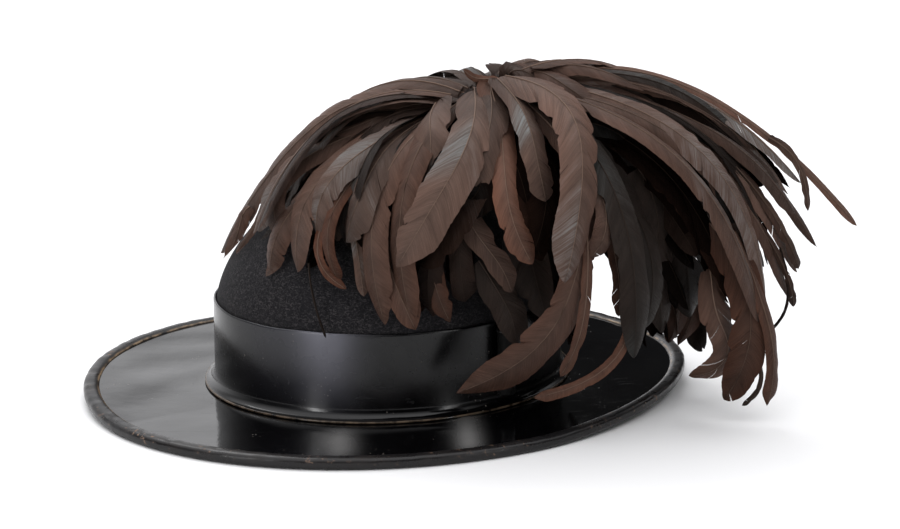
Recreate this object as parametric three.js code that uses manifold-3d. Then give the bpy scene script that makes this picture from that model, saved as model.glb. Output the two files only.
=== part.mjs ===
// A plumed military hat: a felt crown with a varnished leather band, a flat varnished brim with a
// rolled binding, and a bush of long cock feathers on a stem that stands in a socket on the band.
// Millimetres, +Z up. X runs towards the plume's long fall, and Y away from the side it drapes.
import * as THREE from "three";
import { mergeVertices } from "three/addons/utils/BufferGeometryUtils.js";
import Module from "manifold-3d";

const wasm = await Module();
wasm.setup();

// Driving dimensions
const GAP = 0.3;
const ROUND_STEPS = 48;
const TURN_DEG = 30; // the head oval's long axis, turned from X
const BAND = { radius: 95, thick: 1.5, top: 53, flare: 5.2, flareRise: 6, lip: 1.1 };
const BRIM = { radius: 163, under: 2.5, thick: 2.5, rings: 5 };
const BINDING = { height: 6.6, overlap: 8.5, bite: 3, footIn: 6.5, footOut: 2.5, round: 1.3 };
const CROWN = { height: 125, wall: 3, shoulder: 50, rows: 8, domePower: 1.7, domeRoot: 1.9 };
const OVAL = { atBand: 5, atBrim: 12 }; // half the difference of the oval's two half axes
const LIFT = { height: 4.4, towardsDeg: -11, power: 1.5 }; // both sides of the brim curl up a little
const HEAD = { from: [28, -55, 172], to: [76, -50, 188], radius: 9, rings: 6, sides: 10 };
const STEM = { radius: 3, azimuthDeg: -50, foot: 14, shoulder: 118, steps: 14, sides: 10 };
const SOCKET = { wall: 1.6, bottom: 8, top: 50, sides: 14 };
const LOCK = { steps: 7, camber: 1.5, belly: 0.9, rootWidth: 0.3, clear: 5, floor: 4, lean: 0.9 };
const FAR_FALL = { count: 14, fromDeg: 8, toDeg: 196, width: 17, out: 62, reach: 104, drop: 70 };

// Where each lock of feathers goes: its seat along the head from 0 to 1, the point that it passes
// at half its length, its tip, and its widest width.
// seat, midX, midY, midZ, tipX, tipY, tipZ, width
const LEFT_FALL = [
  [0.0, -37, -45, 157, -93, -10, 77, 13],
  [0.02, -38, -52, 147, -70, -45, 97, 14],
  [0.04, -46, -62, 140, -55, -64, 98, 12],
  [0.06, -30, -80, 140, -48, -76, 83, 16],
  [0.08, -22, -90, 144, -37, -82, 102, 14],
  [0.05, -41, -70, 126, -63, -63, 78, 13],
  [0.1, -22, -92, 131, -26, -90, 82, 12],
  [0.14, -7, -98, 145, -22, -95, 104, 16],
  [0.2, -2, -102, 139, -2, -98, 60, 15],
  [0.24, 10, -106, 140, 13, -100, 58, 13],
];
const FRONT_FALL = [
  [0.22, 22, -86, 162, 20, -98, 136, 17],
  [0.34, 33, -110, 147, 4, -114, 96, 23],
  [0.42, 49, -104, 155, 45, -112, 125, 18],
  [0.5, 60, -106, 142, 74, -113, 96, 19],
  [0.56, 74, -92, 161, 81, -106, 128, 15],
  [0.62, 98, -107, 161, 92, -123, 98, 23],
  [0.66, 104, -106, 140, 104, -118, 98, 14],
  [0.64, 103, -106, 108, 33, -108, 30, 20],
  [0.44, 47, -102, 121, 63, -100, 51, 17],
  [0.3, 27, -102, 113, 23, -98, 64, 14],
  [0.36, 36, -102, 115, 40, -100, 72, 14],
];
const RIGHT_FALL = [
  [0.9, 160, -45, 185, 254, -45, 99, 12],
  [0.82, 146, -52, 178, 238, -50, 110, 15],
  [0.92, 154, -50, 170, 214, -55, 119, 14],
  [0.88, 159, -60, 162, 218, -60, 109, 14],
  [0.86, 158, -65, 157, 220, -60, 77, 14],
  [0.84, 163, -70, 147, 218, -62, 59, 14],
  [0.8, 156, -85, 155, 200, -80, 69, 16],
  [0.74, 142, -100, 146, 190, -90, 56, 17],
  [0.78, 162, -90, 133, 202, -75, 8, 16],
  [0.9, 164, -75, 116, 170, -35, 15, 17],
  [0.86, 168, -80, 115, 181, -78, 10, 19],
  [0.94, 190, -70, 92, 189, -80, 10, 12],
];
const UNDER_FALL = [
  [0.7, 121, -98, 104, 130, -85, 38, 17],
  [0.68, 127, -95, 70, 75, -122, 27, 8],
  [0.66, 108, -108, 87, 88, -110, 36, 10],
  [0.72, 122, -70, 90, 125, -50, 32, 17],
  [0.8, 146, -40, 90, 157, -12, 29, 17],
  [0.84, 160, -30, 84, 172, 2, 17, 17],
  [0.5, 66, -80, 125, 84, -92, 56, 20],
  [0.6, 96, -62, 120, 108, -64, 58, 22],
  [0.76, 132, -56, 126, 146, -46, 62, 22],
  [0.84, 152, -56, 136, 180, -42, 72, 22],
  [0.7, 104, -42, 88, 106, -22, 26, 18],
  [0.9, 142, 0, 98, 146, 30, 32, 20],
  [0.95, 118, 38, 122, 128, 70, 62, 20],
];

// A solid that the boolean library can join, from a closed geometry
function solidOf(geometry) {
  const bare = new THREE.BufferGeometry();
  bare.setAttribute("position", geometry.getAttribute("position"));
  bare.setIndex(geometry.index);
  const merged = mergeVertices(bare, 1e-3);
  return new wasm.Manifold(
    new wasm.Mesh({
      numProp: 3,
      vertProperties: new Float32Array(merged.getAttribute("position").array),
      triVerts: new Uint32Array(merged.index.array),
    }),
  );
}

function geometryOf(solid) {
  const mesh = solid.getMesh();
  const geometry = new THREE.BufferGeometry();
  geometry.setAttribute("position", new THREE.BufferAttribute(mesh.vertProperties, 3));
  geometry.setIndex(new THREE.BufferAttribute(mesh.triVerts, 1));
  geometry.computeVertexNormals();
  return geometry;
}

function leather(color, roughness) {
  return new THREE.MeshStandardMaterial({ color, roughness, metalness: 0 });
}

// The hat's plan: every round section is an oval, longer along the head
function ovality(radius) {
  if (radius <= BAND.radius) return (OVAL.atBand * radius) / BAND.radius;
  const share = (radius - BAND.radius) / (BRIM.radius - BAND.radius);
  return THREE.MathUtils.lerp(OVAL.atBand, OVAL.atBrim, share);
}

function brimLift(radius, angle) {
  const share = THREE.MathUtils.clamp((radius - BAND.radius) / (BRIM.radius - BAND.radius), 0, 1);
  const side = Math.max(0, Math.cos(2 * (angle - THREE.MathUtils.degToRad(LIFT.towardsDeg))));
  return LIFT.height * side * share ** LIFT.power;
}

function planPoint(radius, localAngle, z) {
  const turn = THREE.MathUtils.degToRad(TURN_DEG);
  const wide = ovality(radius);
  const point = new THREE.Vector3(
    (radius + wide) * Math.cos(localAngle),
    (radius - wide) * Math.sin(localAngle),
    z,
  );
  point.applyAxisAngle(new THREE.Vector3(0, 0, 1), turn);
  point.z += brimLift(radius, localAngle + turn);
  return point;
}

// Turns a profile of [radius, height] pairs about the hat's axis, as an oval
function ovalLathe(profile) {
  const lathe = new THREE.LatheGeometry(
    profile.map(([radius, z]) => new THREE.Vector2(radius, z)),
    ROUND_STEPS,
  );
  const position = lathe.getAttribute("position");
  for (let i = 0; i < position.count; i++) {
    const radius = Math.hypot(position.getX(i), position.getZ(i));
    const angle = Math.atan2(-position.getZ(i), position.getX(i));
    const point = planPoint(radius, angle, position.getY(i));
    position.setXYZ(i, point.x, point.y, point.z);
  }
  return geometryOf(solidOf(lathe));
}

// Felt crown
const FELT_RADIUS = BAND.radius - BAND.thick - GAP;

function domeProfile(radius, height, foot) {
  const rise = height - CROWN.shoulder;
  const rows = [[radius, foot]];
  for (let i = 0; i <= CROWN.rows; i++) {
    const share = Math.sin((i / CROWN.rows) * (Math.PI / 2));
    const wide = (1 - share ** CROWN.domePower) ** (1 / CROWN.domeRoot);
    rows.push([radius * wide, CROWN.shoulder + rise * share]);
  }
  return rows;
}

function crown() {
  const outer = domeProfile(FELT_RADIUS, CROWN.height, BRIM.under);
  const inner = domeProfile(FELT_RADIUS - CROWN.wall, CROWN.height - CROWN.wall, BRIM.under);
  return ovalLathe([...inner.reverse(), ...outer]);
}

// Leather brim and its rolled binding
const BRIM_TOP = BRIM.under + BRIM.thick;
const BRIM_EDGE = BRIM.radius - BINDING.bite;

function brim() {
  const inner = FELT_RADIUS + GAP;
  const radii = [];
  for (let i = 0; i <= BRIM.rings; i++) {
    radii.push(THREE.MathUtils.lerp(inner, BRIM_EDGE, i / BRIM.rings));
  }
  const under = radii.map((radius) => [radius, BRIM.under]);
  const over = radii.map((radius) => [radius, BRIM_TOP]).reverse();
  return ovalLathe([...under, ...over, under[0]]);
}

function binding() {
  const outer = BRIM.radius;
  const lip = outer - BINDING.overlap;
  const slot = BRIM_EDGE + GAP;
  const middle = BINDING.height / 2;
  const profile = [
    [lip, BRIM.under - GAP],
    [lip, BINDING.round],
    [outer - BINDING.footIn, 0],
    [outer - BINDING.footOut, 0],
    [outer - BINDING.round / 2, BINDING.round],
    [outer, middle],
    [outer - BINDING.round / 2, BINDING.height - BINDING.round],
    [outer - BINDING.footOut, BINDING.height],
    [lip, BINDING.height - BINDING.round / 4],
    [lip, BRIM_TOP + GAP],
    [slot, BRIM_TOP + GAP],
    [slot, BRIM.under - GAP],
  ];
  return ovalLathe([...profile, profile[0]]);
}

// Varnished band, flared into a lip where it meets the brim
function band() {
  const inner = BAND.radius - BAND.thick;
  const foot = BRIM_TOP + GAP;
  const edge = BAND.radius + BAND.flare;
  const profile = [
    [inner, foot],
    [edge, foot],
    [edge, foot + BAND.lip],
    [BAND.radius + BAND.flare / 4, foot + BAND.flareRise / 3],
    [BAND.radius, foot + BAND.flareRise],
    [BAND.radius, BAND.top],
    [inner, BAND.top],
  ];
  return ovalLathe([...profile, profile[0]]);
}

// A closed skin over rings of points, with a fan at each end
function skin(rings) {
  const sides = rings[0].length;
  const points = rings.flat();
  const first = points.length;
  points.push(centreOf(rings[0]), centreOf(rings[rings.length - 1]));
  const faces = [];
  for (let k = 0; k < sides; k++) {
    const next = (k + 1) % sides;
    for (let i = 0; i + 1 < rings.length; i++) {
      const low = i * sides;
      const high = low + sides;
      faces.push(low + k, low + next, high + next, low + k, high + next, high + k);
    }
    const top = (rings.length - 1) * sides;
    faces.push(first, next, k, first + 1, top + k, top + next);
  }
  const geometry = new THREE.BufferGeometry().setFromPoints(points);
  geometry.setIndex(faces);
  return geometry;
}

function centreOf(ring) {
  const sum = new THREE.Vector3();
  ring.forEach((point) => sum.add(point));
  return sum.divideScalar(ring.length);
}

function tube(curve, radiusAt, steps, sides) {
  const frames = curve.computeFrenetFrames(steps, false);
  const rings = [];
  for (let i = 0; i <= steps; i++) {
    const centre = curve.getPointAt(i / steps);
    const ring = [];
    for (let k = 0; k < sides; k++) {
      const angle = (2 * Math.PI * k) / sides;
      const point = centre.clone();
      point.addScaledVector(frames.normals[i], radiusAt(i / steps) * Math.cos(angle));
      point.addScaledVector(frames.binormals[i], radiusAt(i / steps) * Math.sin(angle));
      ring.push(point);
    }
    rings.push(ring);
  }
  return skin(rings);
}

// Plume socket: a plain tube on the band, with the stem standing in it
const SOCKET_RADIUS = STEM.radius + GAP + SOCKET.wall;

function stemLine(z) {
  const angle = THREE.MathUtils.degToRad(STEM.azimuthDeg);
  const onBand = planPoint(BAND.radius, angle - THREE.MathUtils.degToRad(TURN_DEG), z);
  const outward = new THREE.Vector3(onBand.x, onBand.y, 0).normalize();
  return onBand.addScaledVector(outward, SOCKET_RADIUS + 2 * GAP);
}

function socket() {
  const bottom = SOCKET.bottom + BAND.flareRise;
  const along = (from, to) => new THREE.LineCurve3(stemLine(from), stemLine(to));
  const outer = tube(along(bottom, SOCKET.top), () => SOCKET_RADIUS, 1, SOCKET.sides);
  const bore = tube(
    along(bottom + SOCKET.wall, SOCKET.top + SOCKET.wall),
    () => STEM.radius + GAP,
    1,
    SOCKET.sides,
  );
  return geometryOf(solidOf(outer).subtract(solidOf(bore)));
}

// Plume: locks of feathers fused to a bound head on the stem, with no pocket left closed among them
const headFrom = new THREE.Vector3(...HEAD.from);
const headTo = new THREE.Vector3(...HEAD.to);
const headMiddle = headFrom.clone().lerp(headTo, 0.5);

function head() {
  const reach = headTo.clone().sub(headFrom).normalize().multiplyScalar(HEAD.radius);
  const line = new THREE.LineCurve3(headFrom.clone().sub(reach), headTo.clone().add(reach));
  const round = (share) => HEAD.radius * Math.max(0.35, Math.sqrt(Math.sin(Math.PI * share)));
  return tube(line, round, HEAD.rings, HEAD.sides);
}

function stem() {
  const foot = STEM.foot + SOCKET.wall + BAND.flareRise;
  const curve = new THREE.CatmullRomCurve3([
    stemLine(foot),
    stemLine(SOCKET.top),
    stemLine((SOCKET.top + STEM.shoulder) / 2),
    stemLine(STEM.shoulder),
    headMiddle,
  ]);
  return tube(curve, () => STEM.radius, STEM.steps, STEM.sides);
}

// Moves a point out of the crown and off the brim, so that the lock lies over them
function clearOfHat(point, clear) {
  const turned = point.clone().applyAxisAngle(
    new THREE.Vector3(0, 0, 1),
    -THREE.MathUtils.degToRad(TURN_DEG),
  );
  const long = 1 + OVAL.atBand / BAND.radius;
  const short = 1 - OVAL.atBand / BAND.radius;
  const radius = Math.hypot(turned.x / long, turned.y / short);
  const share = THREE.MathUtils.clamp(
    (point.z - CROWN.shoulder) / (CROWN.height + 2 * clear - CROWN.shoulder), 0, 1,
  );
  const wall = BAND.radius * (1 - share ** CROWN.domePower) ** (1 / CROWN.domeRoot);
  const push = share < 1 && radius < wall + clear ? (wall + clear) / radius : 1;
  const floor = radius < BRIM.radius + clear ? BINDING.height + LIFT.height : 0;
  const z = Math.max(point.z, floor + LOCK.floor);
  return new THREE.Vector3(point.x * push, point.y * push, z);
}

// How wide a feather is along its length, from 0 at the root to 1 at the tip
function vane(share) {
  const swell = THREE.MathUtils.smoothstep(share, -0.1, 0.45);
  const tip = Math.sqrt(Math.max(0, 1 - THREE.MathUtils.smoothstep(share, 0.72, 1.02)));
  return Math.max(0.08, THREE.MathUtils.lerp(LOCK.rootWidth, 1, swell) * tip);
}

// One lock: a curved blade with a raised quill line, facing up and away from the plume's middle,
// and leaning towards the side that the plume drapes
function lock(root, middle, tip, width, lean) {
  const pull = middle.clone().multiplyScalar(2).addScaledVector(root, -0.5).addScaledVector(tip, -0.5);
  const curve = new THREE.QuadraticBezierCurve3(root, pull, tip);
  const rings = [];
  for (let i = 0; i <= LOCK.steps; i++) {
    const share = i / LOCK.steps;
    const centre = clearOfHat(curve.getPoint(share), LOCK.clear);
    const along = curve.getTangent(share);
    const away = centre.clone().sub(headMiddle).setZ(0).normalize();
    away.add(new THREE.Vector3(0, -lean, LOCK.lean));
    const across = along.clone().cross(away).normalize();
    const face = across.clone().cross(along).normalize();
    const half = (width / 2) * vane(share);
    const ring = [
      centre.clone().addScaledVector(across, half),
      centre.clone().addScaledVector(face, -LOCK.belly * vane(share)),
      centre.clone().addScaledVector(across, -half),
      centre.clone().addScaledVector(face, LOCK.camber * vane(share)),
    ];
    rings.push(ring.map((point) => clearOfHat(point, LOCK.clear - LOCK.belly)));
  }
  return skin(rings);
}

function lockOfRow([seat, midX, midY, midZ, tipX, tipY, tipZ, width]) {
  const root = headFrom.clone().lerp(headTo, seat);
  const middle = new THREE.Vector3(midX, midY, midZ);
  const tip = new THREE.Vector3(tipX, tipY, tipZ);
  return lock(root, middle, tip, width, LOCK.lean);
}

// The fall on the far side, an even fan over the crown
function farLock(i) {
  const share = i / (FAR_FALL.count - 1);
  const angle = THREE.MathUtils.degToRad(THREE.MathUtils.lerp(FAR_FALL.fromDeg, FAR_FALL.toDeg, share));
  const outward = new THREE.Vector3(Math.cos(angle), Math.sin(angle), 0);
  const longer = i % 2 === 0 ? 1 : 0.86;
  const root = headFrom.clone().lerp(headTo, 1 - share);
  const middle = root.clone().addScaledVector(outward, FAR_FALL.out * longer);
  const tip = root.clone().addScaledVector(outward, FAR_FALL.reach * longer);
  middle.z -= FAR_FALL.drop / 8;
  tip.z -= FAR_FALL.drop * longer;
  return lock(root, middle, tip, FAR_FALL.width, 0);
}

function plume() {
  const rows = [...LEFT_FALL, ...FRONT_FALL, ...RIGHT_FALL, ...UNDER_FALL];
  const locks = rows.map(lockOfRow);
  for (let i = 0; i < FAR_FALL.count; i++) {
    locks.push(farLock(i));
  }
  let bush = solidOf(head()).add(solidOf(stem()));
  locks.forEach((blade) => {
    bush = bush.add(solidOf(blade));
  });
  const shells = solidOf(geometryOf(bush.setTolerance(GAP / 10))).decompose();
  const filled = shells.reduce((best, one) => (one.volume() > best.volume() ? one : best));
  return geometryOf(filled);
}

// The hat, with its origin under the middle of its box
const varnish = leather(0x0c0c0e, 0.18);
const hat = new THREE.Group();

function addPiece(name, geometry, material) {
  const mesh = new THREE.Mesh(geometry, material);
  mesh.name = name;
  hat.add(mesh);
}

addPiece("brim", brim(), varnish);
addPiece("brim_binding", binding(), leather(0x1a1716, 0.35));
addPiece("crown", crown(), leather(0x1b1c20, 0.95));
addPiece("band", band(), varnish);
addPiece("plume_socket", socket(), leather(0x0e0d0d, 0.5));
addPiece("plume", plume(), leather(0x44352d, 0.6));

const box = new THREE.Box3().setFromObject(hat);
const middle = box.getCenter(new THREE.Vector3());
hat.position.set(-middle.x, -middle.y, -box.min.z);

export default hat;
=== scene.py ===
"""A plumed military hat: varnished leather brim and band, felt crown, and a bush of cock feathers."""

import math

import bpy
import numpy as np
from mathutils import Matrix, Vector


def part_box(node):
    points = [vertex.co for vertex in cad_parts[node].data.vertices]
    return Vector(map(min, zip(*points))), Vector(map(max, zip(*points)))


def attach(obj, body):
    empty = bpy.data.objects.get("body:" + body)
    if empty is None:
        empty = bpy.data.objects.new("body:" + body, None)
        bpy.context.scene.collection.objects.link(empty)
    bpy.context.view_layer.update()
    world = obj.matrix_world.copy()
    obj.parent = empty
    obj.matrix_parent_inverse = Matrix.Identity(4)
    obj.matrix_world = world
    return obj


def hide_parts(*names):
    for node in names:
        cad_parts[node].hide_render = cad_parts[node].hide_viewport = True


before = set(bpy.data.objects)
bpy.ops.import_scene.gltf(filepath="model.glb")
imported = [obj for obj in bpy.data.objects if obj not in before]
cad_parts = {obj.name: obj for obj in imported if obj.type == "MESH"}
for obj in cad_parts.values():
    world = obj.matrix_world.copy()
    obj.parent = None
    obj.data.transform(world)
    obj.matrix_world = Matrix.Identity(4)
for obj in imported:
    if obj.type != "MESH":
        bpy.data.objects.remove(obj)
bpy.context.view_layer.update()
MM = 0.001
draw = np.random.default_rng(41)

# Sizes in millimetres, about the crown's axis
crown_low, crown_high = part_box("crown")
AXIS = np.array([
    (crown_low[0] + crown_high[0]) / 2 / MM,
    (crown_low[1] + crown_high[1]) / 2 / MM,
    0.0,
])
# The plan is an oval turned about that axis, and the brim's left and right arcs are lifted off the floor
TURN = math.radians(30)
BAND_RADIUS, BRIM_RADIUS = 95.0, 163.0
BAND_OVAL, BRIM_OVAL = 5.0, 12.0
LIFT, LIFT_TOWARDS = 4.4, math.radians(-11)
CROWN_TOP, SHOULDER = 125.0, 50.0
DOME_POWER, DOME_ROOT = 1.7, 1.9
FELT_RADIUS, FELT_WALL = 93.2, 3.0
BRIM_UNDER, BRIM_TOP = 2.5, 5.0
BAND_TOP = 53.0
BRIM_STEPS, BINDING_STEPS, CROWN_STEPS, BAND_STEPS = 360, 540, 240, 360
# The plume's bound head, from end to end, and where its stem stands on the band
HEAD_FROM = np.array([28.0, -55.0, 172.0])
HEAD_TO = np.array([76.0, -50.0, 188.0])
HEAD_MIDDLE = (HEAD_FROM + HEAD_TO) / 2
STEM_TURN = math.radians(-50)
STEM_OFF = 5.5


def plan(radius, angle, z):
    """Points of the hat's oval plan, from arrays of mean radius, local angle and height."""
    share = np.clip((radius - BAND_RADIUS) / (BRIM_RADIUS - BAND_RADIUS), 0, 1.2)
    oval = np.where(
        radius <= BAND_RADIUS,
        BAND_OVAL * radius / BAND_RADIUS,
        BAND_OVAL + (BRIM_OVAL - BAND_OVAL) * share,
    )
    x = (radius + oval) * np.cos(angle)
    y = (radius - oval) * np.sin(angle)
    side = np.maximum(0, np.cos(2 * (angle + TURN - LIFT_TOWARDS)))
    lifted = z + LIFT * side * np.clip(share, 0, 1) ** 1.5
    c, s = math.cos(TURN), math.sin(TURN)
    return np.stack([c * x - s * y, s * x + c * y, lifted], axis=-1)


def put_mesh(name, points, quads, mat, node, fields=None):
    """A smooth mesh of quads that rides on the hat and stands for one of its solids."""
    mesh = bpy.data.meshes.new(name)
    mesh.vertices.add(len(points))
    mesh.vertices.foreach_set("co", ((points + AXIS) * MM).astype(np.float32).ravel())
    mesh.loops.add(quads.size)
    mesh.loops.foreach_set("vertex_index", quads.astype(np.int32).ravel())
    mesh.polygons.add(len(quads))
    mesh.polygons.foreach_set("loop_start", np.arange(len(quads), dtype=np.int32) * 4)
    mesh.update(calc_edges=True)
    mesh.shade_smooth()
    for field, values in (fields or {}).items():
        layer = mesh.attributes.new(field, "FLOAT_VECTOR", "POINT")
        layer.data.foreach_set("vector", values.astype(np.float32).ravel())
    mesh.materials.append(mat)
    obj = bpy.data.objects.new(name, mesh)
    bpy.context.scene.collection.objects.link(obj)
    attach(obj, "root")
    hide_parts(node)


def grid_quads(rows, columns, close_rows):
    """Quads over a grid of points whose columns go round."""
    last = rows if close_rows else rows - 1
    k, j = np.meshgrid(np.arange(last), np.arange(columns), indexing="ij")
    up, right = (k + 1) % rows, (j + 1) % columns
    corners = [k * columns + j, k * columns + right, up * columns + right, up * columns + j]
    return np.stack(corners, axis=-1).reshape(-1, 4)


def lathe(profile, steps, closed, ripple):
    """Turns a profile of radius and height into an oval ring; ripple bends it by angle."""
    profile = np.array(profile, dtype=float)
    angle = np.linspace(0, 2 * math.pi, steps, endpoint=False)
    radius = np.repeat(profile[:, 0:1], steps, axis=1)
    z = np.repeat(profile[:, 1:2], steps, axis=1)
    turn = np.repeat(angle[None, :], len(profile), axis=0)
    points = plan(*ripple(radius, turn, z)).reshape(-1, 3)
    return points, grid_quads(len(profile), steps, closed)


def waves(angle, *terms):
    """Ripples round the hat, each a height, a count of waves and a phase."""
    return sum(height * np.sin(count * angle + phase) for height, count, phase in terms)


def superellipse(radius, height, wide, high, power, count):
    """A closed profile about a middle, counter-clockwise from below."""
    rows = []
    for turn in np.radians(np.linspace(-90, 270, count, endpoint=False)):
        c, s = math.cos(turn), math.sin(turn)
        r = (abs(c) ** power + abs(s) ** power) ** (-1 / power)
        rows.append([radius + wide * r * c, height + high * r * s])
    return rows


# Colours
VARNISH_BLACK, DUST, RAW_TAN = (0.0013, 0.0012, 0.0015), (0.13, 0.115, 0.1), (0.13, 0.09, 0.058)
# Pale colours mixed into the varnish: painted reflections on the brim, painted highlights on the band
BRIM_REFLECTION_PAINT, BAND_HIGHLIGHT_PAINT = (0.23, 0.225, 0.22), (0.125, 0.125, 0.15)
BINDING_BLACK, BINDING_BROWN = (0.0075, 0.007, 0.0075), (0.015, 0.012, 0.011)
CHIP_BROWN, LIP_TAN = (0.2, 0.125, 0.085), (0.3, 0.21, 0.13)
FELT_DARK, FELT_GREY = (0.002, 0.002, 0.0025), (0.016, 0.015, 0.017)
FIBRE_GREY, FELT_CLOUD = (0.055, 0.05, 0.051), (0.007, 0.007, 0.009)
BARB_DARK, BARB_PALE = (0.0012, 0.0009, 0.0008), (0.15, 0.104, 0.085)
RUDDY_DARK, RUDDY_PALE = (0.002, 0.0008, 0.0006), (0.15, 0.057, 0.032)
PAINTED_GLINT_GREY, QUILL_BROWN = (0.2, 0.222, 0.225), (0.2, 0.135, 0.1)
WARM_TINT, COLD_TINT = (0.55, 0.48, 0.44), (0.85, 1.0, 0.98)
LACQUER_BLACK, THREAD_BROWN = (0.006, 0.006, 0.006), (0.012, 0.009, 0.007)


# Shader helpers
def new_material(name):
    """A material with its node tree and its main shader."""
    mat = bpy.data.materials.new(name)
    mat.use_nodes = True
    return mat, mat.node_tree, mat.node_tree.nodes["Principled BSDF"]


def add(tree, kind, links=None, values=None, **settings):
    """A shader node with settings, socket values and links by socket name or number."""
    node = tree.nodes.new(kind)
    for key, value in settings.items():
        setattr(node, key, value)
    for key, value in (values or {}).items():
        node.inputs[key].default_value = value
    for key, source in (links or {}).items():
        tree.links.new(source, node.inputs[key])
    return node


def noise(tree, where, scale, detail=3.0, rough=0.55, distort=0.0):
    values = {"Scale": scale, "Detail": detail, "Roughness": rough, "Distortion": distort}
    return add(tree, "ShaderNodeTexNoise", {"Vector": where}, values).outputs[0]


def ramp(tree, source, low, high, to_low=0.0, to_high=1.0):
    values = {"From Min": low, "From Max": high, "To Min": to_low, "To Max": to_high}
    return add(tree, "ShaderNodeMapRange", {"Value": source}, values).outputs[0]


def math_node(tree, operation, a, b):
    """A sum or product, where each value is a number or another node's output."""
    node = add(tree, "ShaderNodeMath", operation=operation)
    for index, value in enumerate((a, b)):
        if isinstance(value, (int, float)):
            node.inputs[index].default_value = value
        else:
            tree.links.new(value, node.inputs[index])
    return node.outputs[0]


def mix_color(tree, share, a, b):
    """A mix of two colours, each a tuple or another node's output."""
    node = add(tree, "ShaderNodeMix", {0: share}, data_type="RGBA")
    for socket, value in ((node.inputs[6], a), (node.inputs[7], b)):
        if isinstance(value, tuple):
            socket.default_value = (*value, 1.0)
        else:
            tree.links.new(value, socket)
    return node.outputs[2]


def place(tree):
    return add(tree, "ShaderNodeTexCoord").outputs["Object"]


def stretched(tree, where, scale):
    return add(tree, "ShaderNodeMapping", {"Vector": where}, {"Scale": scale}).outputs[0]


def bump(tree, height, strength, distance, normal=None):
    links = {"Height": height}
    if normal is not None:
        links["Normal"] = normal
    return add(tree, "ShaderNodeBump", links, {"Strength": strength, "Distance": distance}).outputs[0]


def varnish_material(name, gloss, ior, highlight_paint):
    """Black varnished leather: soft unevenness, fine scratches, dust, a raw tan edge, and paler places
    painted in as highlights and reflections.
    """
    mat, tree, shader = new_material(name)
    where = place(tree)
    scratch = noise(tree, stretched(tree, where, (40, 900, 300)), 1.0, 2.0)
    scratch = ramp(tree, scratch, 0.66, 0.72)
    dust = add(tree, "ShaderNodeTexVoronoi", {"Vector": where}, {"Scale": 330.0}).outputs["Distance"]
    dust = ramp(tree, dust, 0.16, 0.09)
    sparse = ramp(tree, noise(tree, where, 45.0, 2.0), 0.56, 0.66)
    dust = math_node(tree, "MULTIPLY", dust, sparse)
    haze = noise(tree, where, 26.0, 4.0)
    rough = ramp(tree, haze, 0.3, 0.75, gloss * 0.7, gloss * 1.5)
    rough = math_node(tree, "ADD", rough, math_node(tree, "MULTIPLY", scratch, 0.16))
    rough = math_node(tree, "ADD", rough, math_node(tree, "MULTIPLY", dust, 0.4))
    wear_and_painted_highlight = add(tree, "ShaderNodeAttribute", attribute_name="wear_and_painted_highlight").outputs["Vector"]
    edge, painted_highlight, polish = add(tree, "ShaderNodeSeparateXYZ", {0: wear_and_painted_highlight}).outputs
    rough = math_node(tree, "MULTIPLY", rough, ramp(tree, polish, 0.0, 1.0, 1.0, 0.3))
    raw = math_node(tree, "MULTIPLY", edge, ramp(tree, noise(tree, where, 160.0, 3.0), 0.3, 0.6))
    color = mix_color(tree, dust, VARNISH_BLACK, DUST)
    color = mix_color(tree, raw, color, RAW_TAN)
    # Painted highlight: the pale highlight colour mixed in where lamps would reflect, broken up by the haze
    painted_highlight_share = math_node(tree, "MULTIPLY", painted_highlight, ramp(tree, haze, 0.25, 0.75, 0.6, 1.0))
    color = mix_color(tree, painted_highlight_share, color, highlight_paint)
    tree.links.new(color, shader.inputs["Base Color"])
    rough = math_node(tree, "ADD", rough, math_node(tree, "MULTIPLY", raw, 0.5))
    tree.links.new(rough, shader.inputs["Roughness"])
    wave = bump(tree, noise(tree, where, 38.0, 2.0, 0.4), 0.35, 0.0007)
    grain = bump(tree, noise(tree, where, 700.0, 3.0), 0.1, 0.0002, wave)
    tree.links.new(bump(tree, dust, 0.5, 0.0002, grain), shader.inputs["Normal"])
    shader.inputs["IOR"].default_value = ior
    return mat


def binding_material():
    """Leather strip rolled over the brim's edge, rubbed brown on its outer turn."""
    mat, tree, shader = new_material("binding_leather")
    where = place(tree)
    wear_and_painted_highlight = add(tree, "ShaderNodeAttribute", attribute_name="wear_and_painted_highlight").outputs["Vector"]
    raw, rub, _ = add(tree, "ShaderNodeSeparateXYZ", {0: wear_and_painted_highlight}).outputs
    chips = ramp(tree, noise(tree, where, 260.0, 4.0, 0.7), 0.6, 0.66)
    chips = math_node(tree, "MULTIPLY", chips, ramp(tree, noise(tree, where, 30.0, 2.0), 0.42, 0.62))
    chips = math_node(tree, "MULTIPLY", chips, rub)
    raw = math_node(tree, "MULTIPLY", raw, ramp(tree, noise(tree, where, 140.0, 3.0), 0.32, 0.62))
    brown = ramp(tree, noise(tree, where, 60.0, 5.0, 0.65), 0.38, 0.7)
    brown = math_node(tree, "MULTIPLY", brown, rub)
    color = mix_color(tree, brown, BINDING_BLACK, BINDING_BROWN)
    color = mix_color(tree, chips, color, CHIP_BROWN)
    color = mix_color(tree, raw, color, LIP_TAN)
    tree.links.new(color, shader.inputs["Base Color"])
    rough = ramp(tree, noise(tree, where, 90.0, 4.0), 0.3, 0.7, 0.2, 0.42)
    rough = math_node(tree, "ADD", rough, math_node(tree, "MULTIPLY", chips, 0.35))
    tree.links.new(rough, shader.inputs["Roughness"])
    grain = bump(tree, noise(tree, where, 420.0, 4.0, 0.6), 0.3, 0.0003)
    tree.links.new(bump(tree, chips, 0.4, 0.0002, grain), shader.inputs["Normal"])
    shader.inputs["IOR"].default_value = 1.36
    return mat


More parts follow.
